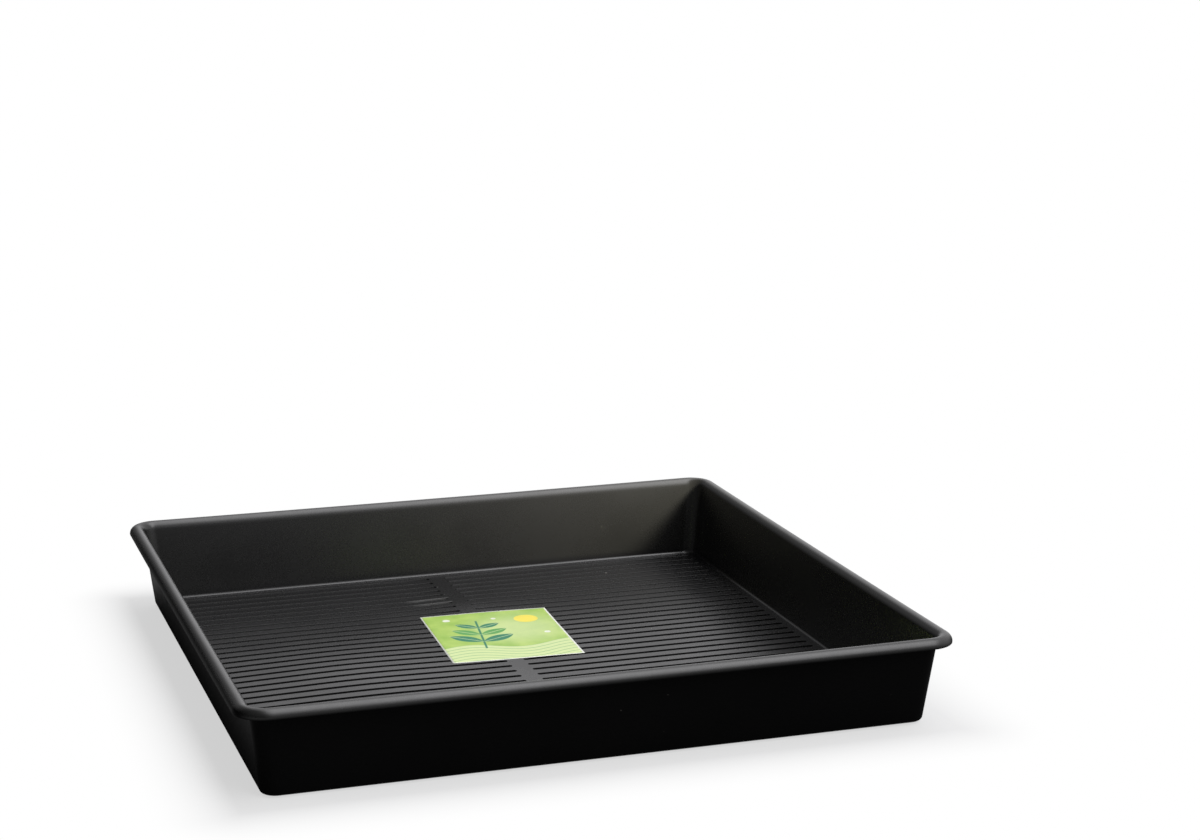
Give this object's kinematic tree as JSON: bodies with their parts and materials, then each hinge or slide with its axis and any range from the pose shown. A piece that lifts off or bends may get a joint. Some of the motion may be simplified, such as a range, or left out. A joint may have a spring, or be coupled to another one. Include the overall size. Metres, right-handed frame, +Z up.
{
  "type": "square garden tray",
  "caption": "Wide shallow square garden tray with leaning walls, rolled half-round rim and grooved floor, for holding soil, pots and drips, with a printed label on its floor.",
  "frame": {"origin": "middle of the base, on the surface that the tray stands on", "axes": "+X along the front edge to the right, +Y from the front to the back, +Z up"},
  "size_m": [1, 1, 0.131],
  "materials": {
    "black_plastic": "satin moulded black",
    "printed_paper": "semi-gloss print, green on white"
  },
  "bodies": {
    "root": {"tray_moulding": "black_plastic", "label": "printed_paper"}
  },
  "joints": []
}
